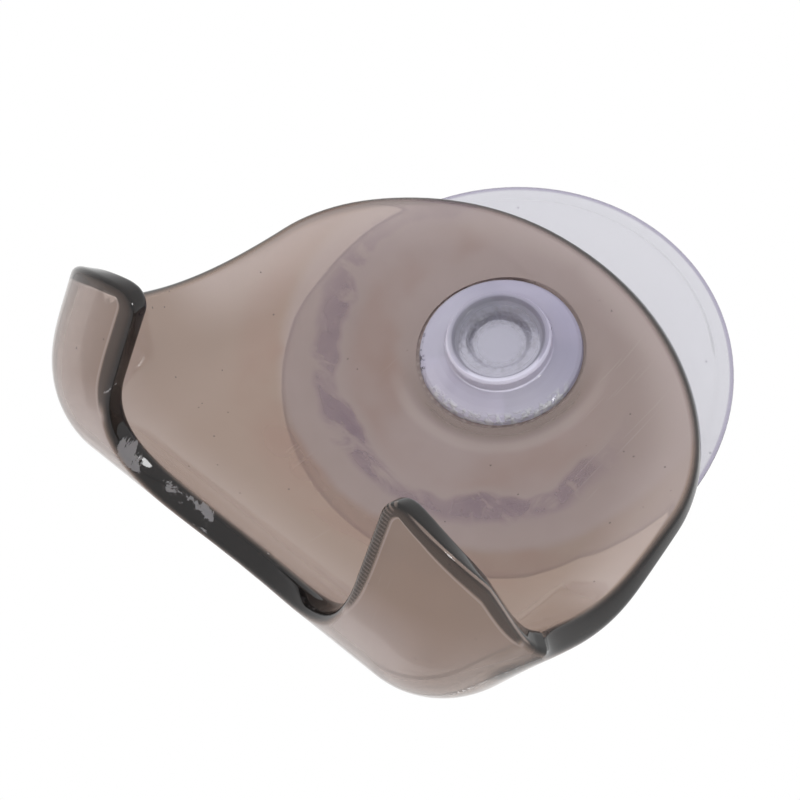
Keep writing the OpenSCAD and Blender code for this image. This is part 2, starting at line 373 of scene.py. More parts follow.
def outline(z, fine):
    """The right half of the unrolled shell, row by row: places on its middle and outer sides."""
    crown, panel, notch, side, tip = (n * fine for n in ROWS)
    split = crown + panel
    rows = split + notch + side + tip
    hw = z.notch_w / 2
    end_u = hw + 1.1 * z.tip_r
    lean = math.hypot(z.side_lean, 1)
    lean_u, lean_s = z.side_lean / lean, 1 / lean

    def pull(a, b, c, d, t):
        return a * (1 - t) ** 3 + 3 * b * t * (1 - t) ** 2 + 3 * c * t * t * (1 - t) + d * t ** 3

    outer, inner = [], []

    def curve(count, across, along, start=0.0, end=0):
        """Adds places on a curve pulled by four places, its last one only with an end."""
        for i in range(count + end):
            t = start + (1 - start) * i / count
            outer.append((pull(*across, t), pull(*along, t)))

    curve(crown, (0, z.pull_top, z.crown_r - z.pull_up * lean_u, z.crown_r),
          (-z.crown_h, -z.crown_h, z.crown_drop - z.pull_up * lean_s, z.crown_drop), CROWN_FROM)
    curve(panel, (z.crown_r, z.crown_r + z.pull_down * lean_u, z.flare_w, z.flare_w),
          (z.crown_drop, z.crown_drop + z.pull_down * lean_s, z.flare_s - z.pull_side, z.flare_s))
    curve(rows - split, (z.flare_w, z.flare_w, end_u + z.corner_w, end_u),
          (z.flare_s, z.flare_s + z.corner_s, z.prong_s, z.prong_s), end=1)
    for i in range(split):
        inner.append((0.0, -z.crown_h + (z.notch_s + z.crown_h) * i / split))
    for i in range(notch):
        q = math.pi / 2 * i / notch
        inner.append((hw * math.sin(q), z.notch_s + z.notch_round * (1 - math.cos(q))))
    for i in range(side):
        t = i / side
        straight = z.prong_s - z.tip_r - z.notch_s - z.notch_round
        inner.append((hw, z.notch_s + z.notch_round + straight * t))
    for i in range(tip + 1):
        q = math.radians(TIP_TURN * i / tip)
        inner.append((hw + z.tip_r * (1 - math.cos(q)), z.prong_s - z.tip_r * (1 - math.sin(q))))
    return np.array(inner), np.array(outer), split


# ---------------------------------------- the shell's mesh

COLUMNS = 44  # faces across each half of a face
ROUNDS = 5  # steps of each rounded edge
LIT_RING = ROUNDS + 3  # the ring on the back rounding that light comes through
LAYERS = ("edge_tone", "notch_edge", "edge_streak", "sheen", "brim")
BRIM_W = 0.003  # width of the painted dark band and highlight line along the prongs' rim
MIDDLE = np.array([0.0, 0.02])  # a place well inside the outline
BEND_MARGIN = 0.0005  # how far the dense columns pass the bend's two ends
BEYOND_SIDE = 0.06  # how far the columns' rule runs past the bend
# where tones start across or along the shell, and over what length they grow
PRONG_ROOT = (0.046, 0.012)
RIM_FADES, RIM_AGAIN = (0.014, 0.010), (0.029, 0.007)
BEND_STARTS, BEND_FADES, BEND_SIDE = (0.040, 0.004), (0.049, 0.007), (0.022, 0.004)
CORNER_ACROSS, CORNER_ALONG, CORNER_FADES = (0.0285, 0.003), (0.036, 0.003), (0.043, 0.004)
LEFT_SIDE = (0.017, 0.006)
LIT_ACROSS, LIT_ALONG = (0.019, 0.003), (0.047, 0.004)
PATCH_LEFT, PATCH_ALONG = (0.002, 0.004), (0.0095, 0.003)
RIM_SHEEN_W = 0.008  # width of the painted sheen along the panel's rim
NOTCH_EDGE = (0.0012, 0.003)  # how far beside and above the notch its edge may take painted reflection patches
PATCH_LEAST = 0.2  # share of painted reflection patches on the notch's edge where it has the fewest


def prong_share(s):
    """How much of a prong's painted rim shade and highlight a place gets."""
    return rise(s, *PRONG_ROOT) ** 0.3


def mirrored(half):
    """A half outline and its mirror image as one loop; its first and last places are shared."""
    return np.concatenate([half, (half * [-1, 1])[-2:0:-1]])


def half_grid(z, front_y, inner, outer, split):
    """Places over the right half of a face, an edge radius inside its outline, row by row."""
    rows = len(inner) - 1
    # the half outline: crown from the middle, outer side, tip, notch to the middle
    crown_row = np.linspace(inner[0], outer[0], 5)[:-1]
    tip_row = np.linspace(outer[-1], inner[-1], 4)[1:-1]
    half = np.concatenate([crown_row, outer, tip_row, inner[:split - 1:-1]])
    loop = mirrored(half)
    p = skin(z, front_y, *loop.T)
    du, ds, n = frame_at(z, front_y, *loop.T)
    inward = np.cross(np.roll(p, -1, 0) - np.roll(p, 1, 0), n)
    inward /= np.linalg.norm(inward, axis=-1, keepdims=True)
    step = np.einsum("kij,kj->ki", np.linalg.pinv(np.stack([du, ds], -1)), inward)
    step *= np.sign(np.dot(step[0], MIDDLE - loop[0]))
    inset = (loop + z.edge_r * step)[:len(half)]
    inset[0, 0] = inset[-1, 0] = 0.0
    start = len(crown_row)
    outs = inset[start:start + rows + 1]
    ins = inset[start + rows + 1 + len(tip_row):][::-1]
    ins = np.concatenate([np.linspace(inset[0], ins[0], split + 1)[:-1] * [0, 1], ins])
    # the columns are three times as dense in the bend beside the floor
    bend_a = z.floor_w - BEND_MARGIN
    bend_b = z.floor_w + z.side_r * z.side_turn + BEND_MARGIN
    dense = bend_a + 3 * (bend_b - bend_a)
    table_u = [0, bend_a, bend_b, bend_b + BEYOND_SIDE]
    table_w = [0, bend_a, dense, dense + BEYOND_SIDE]
    grid = np.zeros((rows + 1, COLUMNS + 1, 2))
    for j, (lo, hi) in enumerate(zip(ins, outs)):
        w = np.interp([lo[0], hi[0]], table_u, table_w)
        u = np.interp(np.linspace(w[0], w[1], COLUMNS + 1), table_w, table_u)
        t = (u - lo[0]) / (hi[0] - lo[0])
        t[0], t[-1] = 0, 1
        grid[j] = lo + (hi - lo) * t[:, None]
    return grid


def face_tones(grid, split):
    """Tones at each place of a half face: painted front sheen, painted back sheen and glint by
    side, and brim.
    """
    across, along = grid[..., 0], grid[..., 1]
    # painted sheen gathers along the panel's rim, in the prongs' bend and over the back of the left
    # side, and one corner gets a painted dark tan glint
    to_rim = np.linalg.norm(grid - grid[:, -1:], axis=-1)
    front = ease(1 - to_rim / RIM_SHEEN_W) * (1 - rise(along, *RIM_FADES))
    front = np.maximum(front, 0.45 * rise(along, *RIM_AGAIN))
    bend = rise(along, *BEND_STARTS) * (1 - rise(along, *BEND_FADES))
    bend *= 1 - 0.7 * rise(across, *BEND_SIDE)
    corner = rise(across, *CORNER_ACROSS) * rise(along, *CORNER_ALONG)
    corner *= 1 - rise(along, *CORNER_FADES)
    back = {1: bend - 1.3 * corner, -1: np.maximum(bend, 0.6 * rise(across, *LEFT_SIDE))}
    # how close a place is to the prongs' rim: 1 on it, 0 from a brim's width inwards
    to_notch = np.linalg.norm(grid - grid[:, :1], axis=-1)
    to_notch[:split] = 1.0
    brim = np.maximum(1 - np.minimum(to_rim, to_notch) / BRIM_W, 0) * prong_share(along)
    return front, back, brim


def shell_mesh(z, front_y, name):
    """The moulding with rounded edges: front face, back face and the edge band between them."""
    inner, outer, split = outline(z, 3)
    rows = len(inner) - 1
    grid = half_grid(z, front_y, inner, outer, split)
    front_sheen, back_sheen, brim = face_tones(grid, split)
    bm = bmesh.new()
    layers = {key: bm.verts.layers.float.new(key) for key in LAYERS}

    def put(points, **tones):
        made = [bm.verts.new(q) for q in points]
        for key, amounts in tones.items():
            for vertex, amount in zip(made, amounts):
                vertex[layers[key]] = amount
        return made

    def face(*vs):
        if len(set(vs)) > 2:
            bm.faces.new(vs)

    def border(at):
        """The border of a half face, in the order crown, outer side, tip, notch."""
        line = [at[0][i] for i in range(COLUMNS)] + [at[j][COLUMNS] for j in range(rows)]
        line += [at[rows][i] for i in range(COLUMNS, 0, -1)]
        return line + [at[j][0] for j in range(rows, split - 1, -1)]

    # the front and the back, each as a right and a left half
    halves = {}
    for sign in (1, -1):
        for back in (False, True):
            q = grid.reshape(-1, 2) * [sign, 1]
            points = skin(z, front_y, *q.T)
            if back:
                points = points + z.wall * frame_at(z, front_y, *q.T)[2]
                vs = put(points, sheen=back_sheen[sign].ravel(), brim=brim.ravel())
            else:
                vs = put(points, sheen=front_sheen.ravel())
            at = [vs[k:k + COLUMNS + 1] for k in range(0, len(vs), COLUMNS + 1)]
            for j in range(rows):
                for i in range(COLUMNS):
                    ring = [at[j][i], at[j][i + 1], at[j + 1][i + 1], at[j + 1][i]]
                    face(*(ring[::-1] if (sign < 0) != back else ring))
            halves[sign, back] = at

    # the edge band, ring by ring from the front to the back
    full = mirrored(np.array(border(grid)))
    across, along = full.T
    edge = skin(z, front_y, across, along)
    into = frame_at(z, front_y, across, along)[2]
    out = np.cross(np.roll(edge, -1, 0) - np.roll(edge, 1, 0), into)
    out /= np.linalg.norm(out, axis=-1, keepdims=True)
    if np.dot(out[0], skin(z, front_y, 0.0, -z.crown_h) - skin(z, front_y, 0.0, 0.0)) < 0:
        out = -out
    # painted reflection patches on the notch's edge: most on its left root, a little elsewhere
    in_notch = np.abs(across) < z.notch_w / 2 + NOTCH_EDGE[0]
    in_notch &= along > z.notch_s - NOTCH_EDGE[1]
    reflecting = rise(-across, *PATCH_LEFT) * ease((z.notch_s + PATCH_ALONG[0] - along) / PATCH_ALONG[1])
    wear = in_notch * (PATCH_LEAST + (1 - PATCH_LEAST) * reflecting)
    right_prong = rise(across, *LIT_ACROSS) * rise(along, *LIT_ALONG)
    r, quarter = z.edge_r, [math.pi / 2 * k / ROUNDS for k in range(ROUNDS + 1)]
    # how far out, how deep and how strongly each ring takes the edge's painted shade and reflection
    # patches
    profile = [(r * math.sin(q), r * (1 - math.cos(q)), math.sin(q)) for q in quarter[1:]]
    profile.append((r, z.wall / 2, 1.0))
    profile += [(r * math.cos(q), z.wall - r + r * math.sin(q), math.cos(q)) for q in quarter[:-1]]
    rings = []
    for k, (off, deep, shade) in enumerate(profile):
        tones = {"edge_tone": [shade ** 0.6] * len(full), "notch_edge": wear * shade}
        if deep > z.wall / 2:
            tones["brim"] = prong_share(along)
        if k == LIT_RING:
            tones["edge_streak"] = right_prong
        rings.append(put(edge + out * off + into * deep, **tones))

    def whole(back):
        right, left = border(halves[1, back]), border(halves[-1, back])
        return right + left[-2:0:-1]

    rings = [whole(False), *rings, whole(True)]
    for ring_a, ring_b in zip(rings, rings[1:]):
        for k in range(len(ring_a)):
            k2 = (k + 1) % len(ring_a)
            face(ring_a[k], ring_b[k], ring_b[k2], ring_a[k2])
    bmesh.ops.remove_doubles(bm, verts=bm.verts, dist=WELD)
    bmesh.ops.recalc_face_normals(bm, faces=bm.faces)
    mesh = bpy.data.meshes.new(name)
    bm.to_mesh(mesh)
    bm.free()
    return mesh


# ---------------------------------------- pieces

PATH_R = 0.01  # radius of the circle that a half section is swept along


def place(name, data):
    """A new object in the scene."""
    obj = bpy.data.objects.new(name, data)
    bpy.context.scene.collection.objects.link(obj)
    return obj


def rounded(corners, steps=5):
    """A line through (radius, distance, rounding) corners, each rounded by its own radius."""
    line = []
    for k, (x, y, r) in enumerate(corners):
        here = Vector((x, y))
        if r <= 0 or k in (0, len(corners) - 1):
            line.append(here)
            continue
        before, after = Vector(corners[k - 1][:2]) - here, Vector(corners[k + 1][:2]) - here
        reach = min(before.length, after.length) * 0.48
        angle = before.angle(after)
        cut = min(reach, r / math.tan(angle / 2))
        a, b = here + before.normalized() * cut, here + after.normalized() * cut
        for i in range(steps + 1):
            t = i / steps
            line.append(a * (1 - t) ** 2 + here * 2 * t * (1 - t) + b * t * t)
    return line


def revolve_tree():
    """Geometry nodes that revolve a half section round the cup's axis, which points forward."""
    tree = bpy.data.node_groups.new("Revolve half section", "GeometryNodeTree")
    sockets(tree,
            [("Geometry", "Section", None), ("Int", "Segments", 128),
             ("Float", "Path Radius", PATH_R), ("Material", "Material", None)],
            [("Geometry", "Piece")])
    tree.interface.items_tree["Segments"].min_value = 8
    t = Nodes(tree)
    given = t.add("NodeGroupInput").outputs
    shift = t.add("ShaderNodeCombineXYZ", {0: t.times(given["Path Radius"], -1.0)}).outputs[0]
    moved = t.add("GeometryNodeTransform", {"Geometry": given["Section"], "Translation": shift})
    section = t.add("GeometryNodeMeshToCurve", {"Mesh": moved.outputs[0]}).outputs["Curve"]
    path = t.add("GeometryNodeCurvePrimitiveCircle",
                 {"Resolution": given["Segments"], "Radius": given["Path Radius"]}).outputs["Curve"]
    swept = t.add("GeometryNodeCurveToMesh", {"Curve": path, "Profile Curve": section})
    made = t.add("GeometryNodeTransform",
                 {"Geometry": swept.outputs["Mesh"], "Rotation": (-math.pi / 2, 0, 0)})
    for kind, inputs in (
            ("GeometryNodeMergeByDistance", {"Distance": WELD}), ("GeometryNodeSetShadeSmooth", {}),
            ("GeometryNodeRealizeInstances", {}),
            ("GeometryNodeSetMaterial", {"Material": given["Material"]})):
        made = t.add(kind, {"Geometry": made.outputs[0], **inputs})
    t.add("NodeGroupOutput", {"Piece": made.outputs[0]})
    return tree


def revolved(line, name, segments):
    """A closed piece revolved from a half section, X its radius and Y its distance, as a mesh."""
    mesh = bpy.data.meshes.new(name + "_section")
    mesh.from_pydata([(p.x, p.y, 0) for p in line], [(k, k + 1) for k in range(len(line) - 1)], [])
    source = place(name + "_section", mesh)
    tree = revolve_tree()
    mod = source.modifiers.new("Revolve", "NODES")
    mod.node_group = tree
    values = {"Segments": segments, "Path Radius": PATH_R}
    for item in tree.interface.items_tree:
        if item.item_type == "SOCKET" and item.name in values:
            mod[item.identifier] = values[item.name]
    bpy.context.view_layer.update()
    ready = source.evaluated_get(bpy.context.evaluated_depsgraph_get())
    mesh = bpy.data.meshes.new_from_object(ready)
    mesh.name = name
    bpy.data.objects.remove(source)
    bm = bmesh.new()
    bm.from_mesh(mesh)
    bmesh.ops.recalc_face_normals(bm, faces=bm.faces)
    bm.to_mesh(mesh)
    bm.free()
    return mesh


def piece(name, mesh, body, node, material):
    """Puts a finished mesh in the scene as a piece that stands for a node of the model."""
    obj = place(name, mesh)
    mesh.materials.clear()
    mesh.materials.append(material)
    for poly in mesh.polygons:
        poly.use_smooth = True
    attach(obj, body)
    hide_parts(node)


# ---------------------------------------- materials

# round the hole's axis: where a zone starts, is full from, is full to, and ends
WARM_INNER = (0.011, 0.013, 0.0155, 0.0175)
WARM_OUTER = (0.024, 0.0255, 0.0275, 0.030)
COOL_RING = (0.0172, 0.0180, 0.0196, 0.0212)
KNOB_SHADE = (0.0088, 0.0094, 0.0100, 0.0114)
KNOB_ARC = (0.0108, 0.0116, 0.0119, 0.0128)
RECESS_GRAIN = (0.0018, 0.0029, 0.0038, 0.0050)
# the same across the right prong, and as shares of the way to the prongs' rim
RIBBED = (0.0150, 0.0160, 0.0184, 0.0190)
LIGHT_LINE = (0.64, 0.68, 0.71, 0.75)
# radii and depths between which a tone grows
OVER_CUP = (0.0235, 0.0250)
CUP_RIM = (0.0244, 0.0247)
FLANGE_RIM = (0.0079, 0.0086)
RECESS_WALL = (0.0048, 0.0056)
FRONT_OF_PANEL = (0.0062, 0.0066)
FRONT_OF_FLANGE = (0.0058, 0.0066)
# ways along a direction between which a tone grows
BELOW_HOLE, UNDER_KNOB, CUP_BELOW = (-0.012, 0.004), (-0.001, 0.008), (-0.006, 0.004)
# the flange rim's painted highlight and painted shade grow along these two ways
WHITE_SIDE, SHADE_SIDE = (0.0035, 0.0060), (0.0080, 0.0086)
# noise, waves and attributes between which a tone grows
HAIRLINE, BREAKS, CLOUDY = (0.70, 0.73), (0.52, 0.62), (0.30, 0.70)
# the painted reflection patches on the notch's edge grow over the second range
TORN_RING, PATCHY = (0.36, 0.52), (0.68, 0.72)
# the second and third: grain that breaks up the flange rim's painted highlight and painted shade
TORN_GRAIN, WHITE_GRAIN, SHADE_GRAIN = (0.40, 0.62), (0.42, 0.58), (0.53, 0.57)
STREAK, DARK_BAND, RIB_WAVE, ON_EDGE = (0.15, 0.7), (0.72, 0.82), (-0.3, 0.8), (0.40, 0.95)
# directions
FORWARD, DOWN, ACROSS = (0, -1, 0), (0, 0, -1), (1, 0, 0)
LOWER_LEFT, LOWER_RIGHT = (-0.5, 0, -0.85), (0.633, 0, -0.774)
# the side of the flange's rim where painted shade goes
LOW_LEFT_RIM = (-0.734, 0, -0.679)
UP_THE_PRONG = (0, -0.83, 0.56)
# tones of small marks, of the prongs' painted dark band, and of the flange rim's painted highlight
# and painted shade
SPECK, SCRATCH, DARK_RIM = (0.06, 0.05, 0.06), (0.62, 0.56, 0.52), (0.022, 0.018, 0.016)
RECESS_TONE, GRAIN_TONE, CUP_SPECK = (0.31, 0.305, 0.37), (0.27, 0.26, 0.31), (0.30, 0.30, 0.34)
RIM_HIGHLIGHT, RIM_SHADE_TONE = (0.93, 0.93, 0.97), (0.05, 0.045, 0.06)
# the last: the least share of the notch's edge that takes painted reflection patches
EMPTY_CELLS, CUP_SPECK_SCALE, NO_PATCH = 0.25, 300.0, 0.05
WAVER, RIB_TURN = 0.011, 14000.0  # of the zones' borders in m, and of the ribs in radians per m
# the shaders' plain values, and the strength and distance of their bumps
SMOKE_PLAIN = {"IOR": 1.49, "Specular IOR Level": 0.32, "Transmission Weight": 0.6}
CUP_PLAIN = {"IOR": 1.48, "Transmission Weight": 0.85}
KNOB_PLAIN = {"IOR": 1.48, "Transmission Weight": 0.46}
SMOKE_BUMP = {"Strength": 0.10, "Distance": 0.0001}
CLEAR_BUMP = {"Strength": 0.7, "Distance": 0.0003}
BASE_ROUGHNESS = 0.05


def handling_wear():
    """Shared effect: fine scratches, specks and a soft cloud, from object coordinates."""
    name = "Handling wear"
    if name in bpy.data.node_groups:
        return bpy.data.node_groups[name]
    group = bpy.data.node_groups.new(name, "ShaderNodeTree")
    sockets(group,
            [("Vector", "Vector", None), ("Float", "Scratch Scale", 4200.0),
             ("Float", "Speck Scale", 420.0), ("Float", "Speck Size", 0.05)],
            [("Float", "Scratches"), ("Float", "Specks"), ("Float", "Cloud")])
    t = Nodes(group)
    given = t.add("NodeGroupInput").outputs
    where = given["Vector"]
    # long thin noise in two directions gives hairline scratches, which a cloud breaks up
    lines = []
    for turn_z, squeeze in ((0.6, 0.02), (2.1, 0.03)):
        thread = t.add("ShaderNodeMapping", {
            "Vector": where, "Rotation": (0.3, turn_z, turn_z * 0.5),
            "Scale": (1.0, squeeze, squeeze)})
        strands = t.noise(thread.outputs[0], given["Scratch Scale"], detail=1.0)
        lines.append(t.ramp(strands, *HAIRLINE, "LINEAR"))
    cloud = t.noise(where, scale=70.0, detail=3.0)
    scratches = t.times(t.maths("MAXIMUM", *lines), t.ramp(cloud, *BREAKS, "LINEAR"))
    # three cells in four hold a speck
    cells = t.add("ShaderNodeTexVoronoi", {"Vector": where, "Scale": given["Speck Scale"]}).outputs
    lot = t.add("ShaderNodeSeparateColor", {0: cells["Color"]}).outputs[0]
    specks = t.times(t.maths("LESS_THAN", cells["Distance"], given["Speck Size"]),
                     t.maths("GREATER_THAN", lot, EMPTY_CELLS))
    t.add("NodeGroupOutput", {"Scratches": scratches, "Specks": specks, "Cloud": cloud})
    return group


def start_material(name):
    """An empty material: itself, its nodes, its shader and the object coordinates."""
    m = bpy.data.materials.new(name)
    m.use_nodes = True
    m.node_tree.nodes.clear()
    t = Nodes(m.node_tree)
    shader = t.add("ShaderNodeBsdfPrincipled")
    t.add("ShaderNodeOutputMaterial", {"Surface": shader.outputs[0]})
    return m, t, shader, t.add("ShaderNodeTexCoord").outputs["Object"]


def finish_material(t, shader, tone, rough, relief, bump, plain):
    """Feeds the shader what varies over the surface and sets its plain values."""
    t.feed(shader.inputs["Base Color"], tone)
    t.feed(shader.inputs["Roughness"], t.plus(rough, BASE_ROUGHNESS))
    raised = t.add("ShaderNodeBump", {"Height": relief, **bump})
    t.feed(shader.inputs["Normal"], raised.outputs[0])
    for key, value in plain.items():
        shader.inputs[key].default_value = value


def smoke_material(tints):
    """Hard translucent plastic with a grey-brown smoke tint, near-black edges of painted shade, and
    painted sheen, glints and shadow.
    """
    m, t, shader, where = start_material("smoke_plastic")
    scratches, specks, haze = t.wear({"Vector": where})
    drawn = t.add("ShaderNodeMapping", {"Vector": where, "Scale": (0.55, 1.0, 1.0)})
    torn = t.noise(drawn.outputs[0], scale=190.0, detail=5.0, Roughness=0.65, Distortion=0.8)
    cloud = t.ramp(haze, *CLOUDY)
    # a violet ring and reddish zones beside it, with wavering borders, below the hole
    r = t.radius(where)
    wavering = t.plus(r, t.times(t.maths("SUBTRACT", haze, 0.5), WAVER))
    low = t.ramp(t.towards(where, LOWER_LEFT), *BELOW_HOLE)
    warm = t.plus(t.zone(wavering, WARM_INNER), t.zone(wavering, WARM_OUTER), True)
    warm = t.times(warm, low, cloud)
    cool = t.times(t.zone(wavering, COOL_RING), low, t.ramp(torn, *TORN_RING),
                   t.plus(t.times(cloud, 0.7), 0.3))
    # a painted soft shadow of the knob and a painted pale reflection arc on the lower side of the
    # knob's seat
    under_knob = t.ramp(t.towards(where, LOWER_RIGHT), *UNDER_KNOB)
    shade = t.times(t.zone(r, KNOB_SHADE), under_knob)
    arc = t.times(t.zone(r, KNOB_ARC), under_knob)
    # painted light: the panel is painted paler where the cup lies behind it, for the light that the
    # cup sends back
    tint = t.mix(t.rest(t.ramp(r, *OVER_CUP)), tints.smoke, tints.smoke_backed)
    tint = t.layered(tint, (
        (cloud, 0.35, [c * 0.86 for c in tints.smoke]), (warm, 0.8, tints.smoke_warm),
        (cool, 0.9, tints.smoke_cool), (shade, 0.55, [c * 0.62 for c in tints.smoke]),
        (arc, 0.30, tints.smoke_pale)))
    # the painted sheen is signed: a pale painted sheen where it is above 0, a painted dark tan
    # glint where it is below
    sheen = t.attribute("sheen")
    tint = t.mix(t.maths("MULTIPLY", sheen, 0.75, True), tint, tints.smoke_pale)
    tint = t.mix(t.maths("MULTIPLY", sheen, -0.9, True), tint, tints.smoke_tan)
    # seen from outside, the prongs have a painted dark band of the edge's shade along the rim, a
    # fine painted highlight line beside it, and raised ribs painted with light coming through
    brim = t.attribute("brim")
    band = t.ramp(brim, *DARK_BAND)
    wave = t.maths("SINE", t.times(t.towards(where, UP_THE_PRONG), RIB_TURN))
    ribs = t.times(t.ramp(wave, *RIB_WAVE), band, t.zone(t.towards(where, ACROSS), RIBBED))
    face = t.layered(tint, (
        (specks, 0.6, SPECK), (scratches, 0.22, SCRATCH), (band, 0.85, DARK_RIM),
        (t.zone(brim, LIGHT_LINE), 0.5, tints.smoke_pale), (ribs, 0.5, tints.smoke_lit)))
    # the edge's near-black is painted shade; on the right prong it has painted light coming
    # through, and in the notch painted light grey reflection in torn patches, which are also
    # rougher and raised
    notch = t.attribute("notch_edge")
    patch = t.times(t.ramp(t.plus(torn, t.times(notch, 0.20)), *PATCHY),
                    t.maths("GREATER_THAN", notch, NO_PATCH))
    edge = t.mix(t.ramp(t.attribute("edge_streak"), *STREAK), tints.smoke_edge, tints.smoke_lit)
    edge = t.mix(patch, t.layered(edge, ((ribs, 0.6, tints.smoke_lit),)), tints.notch_reflection)
    on_edge = t.ramp(t.attribute("edge_tone"), *ON_EDGE)
    rough = t.plus(t.times(scratches, 0.2), t.times(patch, 0.4))
    relief = t.plus(t.plus(scratches, patch), t.times(ribs, 2.0))
    finish_material(t, shader, t.mix(on_edge, face, edge), rough, relief, SMOKE_BUMP, SMOKE_PLAIN)
    return m


def clear_material(name, tint, rim_tint, dark, plain):
    """Soft clear plastic, torn round the knob's recess, with a darker line round the cup's rim and
    painted light and shade on the knob.
    """
    m, t, shader, where = start_material(name)
    _, specks, haze = t.wear({"Vector": where, "Speck Scale": CUP_SPECK_SCALE})
    forward = t.towards(where, FORWARD)
    grain = t.noise(where, scale=1500.0, detail=3.0)
    r = t.radius(where)
    of_panel, of_flange = t.ramp(forward, *FRONT_OF_PANEL), t.ramp(forward, *FRONT_OF_FLANGE)
    # painted light and shade: the knob's lower front keeps the pale tint, the rest takes half the
    # darker tone
    depth = t.rest(t.times(t.ramp(t.towards(where, DOWN), *CUP_BELOW), of_panel))
    ring = t.times(t.zone(r, RECESS_GRAIN), of_flange)
    torn = t.times(ring, t.ramp(grain, *TORN_GRAIN))
    inside = t.times(t.rest(t.ramp(r, *RECESS_WALL)), of_flange)
    # the flange's rim gets a painted highlight, white on its lower right, and painted shade in dark
    # patches on its lower left, both broken up by grain and with a grainy relief
    rim = t.times(t.ramp(r, *FLANGE_RIM), of_panel)
    white = t.times(rim, t.ramp(t.towards(where, LOWER_RIGHT), *WHITE_SIDE),
                    t.ramp(grain, *WHITE_GRAIN))
    rim_shade = t.times(rim, t.ramp(t.towards(where, LOW_LEFT_RIM), *SHADE_SIDE),
                   t.ramp(grain, *SHADE_GRAIN))
    tone = t.layered(tint, (
        (depth, 0.5, dark), (t.ramp(haze, *CLOUDY), 0.3, dark),
        (t.ramp(r, *CUP_RIM), 0.6, rim_tint), (inside, 0.8, RECESS_TONE),
        (white, 0.85, RIM_HIGHLIGHT), (rim_shade, 0.8, RIM_SHADE_TONE), (torn, 0.6, GRAIN_TONE),
        (specks, 0.7, CUP_SPECK)))
    rough = t.plus(t.times(haze, 0.10), t.times(ring, 0.25))
    rough_parts = t.plus(ring, t.plus(white, rim_shade), True)
    relief = t.plus(t.times(grain, rough_parts), t.times(haze, 0.3))
    finish_material(t, shader, tone, rough, relief, CLEAR_BUMP, plain)
    return m


# ---------------------------------------- operators

SHELL_SHARP, CUP_SHARP = math.radians(32), math.radians(50)
CUTTER_SEGMENTS = 160
AIM = (0, -0.02, -0.01)  # what the lamps point at
HIGHLIGHT_LAMP = "side_lamp"  # only this small lamp makes highlights, and nothing else
# name, place, size and share of the lamp power
LAMPS = (
    ("key_lamp", (-1.25, -1.45, 1.35), 2.2, 0.95),
    (HIGHLIGHT_LAMP, (0.64, -0.44, 0.16), 0.16, 0.07),
    ("left_lamp", (-1.5, -0.5, -0.05), 1.6, 0.45),
    ("low_lamp", (1.0, -1.6, -0.1), 1.8, 0.4),
    ("top_lamp", (0.2, 0.9, 1.9), 2.2, 0.6))
AIR_LIGHT, AIR_SEEN = 0.8, 1.0  # the world's strength as light and as seen
FLOOR_R, FLOOR_SIDES = 6.0, 96
WHITE, FLOOR_TONES = (1, 1, 1), ((0.86, 0.86, 0.865), (0.88, 0.88, 0.885))
# a long lens in front of the holder, to its right and below it
CAMERA_AT = (0.167935, -0.384586, -0.135822)
CAMERA_RIGHT = (0.729535, 0.110748, 0.674918)
CAMERA_DOWN = (0.556364, 0.477845, -0.679797)
LENS, SENSOR, NEAREST, FURTHEST = 180.0, 36.0, 0.01, 50.0


class HOLDER_OT_shell(bpy.types.Operator):
    """Build the clear moulded hook with its hole and seat"""

    bl_idname = "holder.shell"
    bl_label = "Hook shell"

    def execute(self, context):
        z, c = context.scene.holder_shell, context.scene.holder_cup
        # the cutter: a hole with softened mouths and the shallow round seat
        soft, beyond = 0.00018, 0.006
        back, seat = c.height, c.height + z.wall - z.seat_depth
        mouth, below = z.hole_r + soft, back - 0.002
        side = [(0, below, 0), (mouth, below, 0), (mouth, back, 0), (z.hole_r, back + soft, soft),
                (z.hole_r, seat - soft, soft), (mouth, seat, 0), (z.seat_r, seat, 0),
                (z.seat_r, seat + beyond, 0), (0, seat + beyond, 0)]
        body = place("shell_blank", shell_mesh(z, -(c.height + z.wall), "shell_blank"))
        cutter = place("hole_cutter", revolved(rounded(side), "hole_cutter", CUTTER_SEGMENTS))
        cut = body.modifiers.new("Hole", "BOOLEAN")
        cut.operation, cut.solver, cut.object = "DIFFERENCE", "EXACT", cutter
        context.view_layer.update()
        ready = body.evaluated_get(context.evaluated_depsgraph_get())
        done = bpy.data.meshes.new_from_object(ready)
        done.name = "hook_shell_clear"
        for o in (cutter, body):
            bpy.data.objects.remove(o)
        piece("hook_shell_clear", done, "hook", "hook_shell",
              smoke_material(context.scene.holder_colours))
        done.set_sharp_from_angle(angle=SHELL_SHARP)
        return {"FINISHED"}


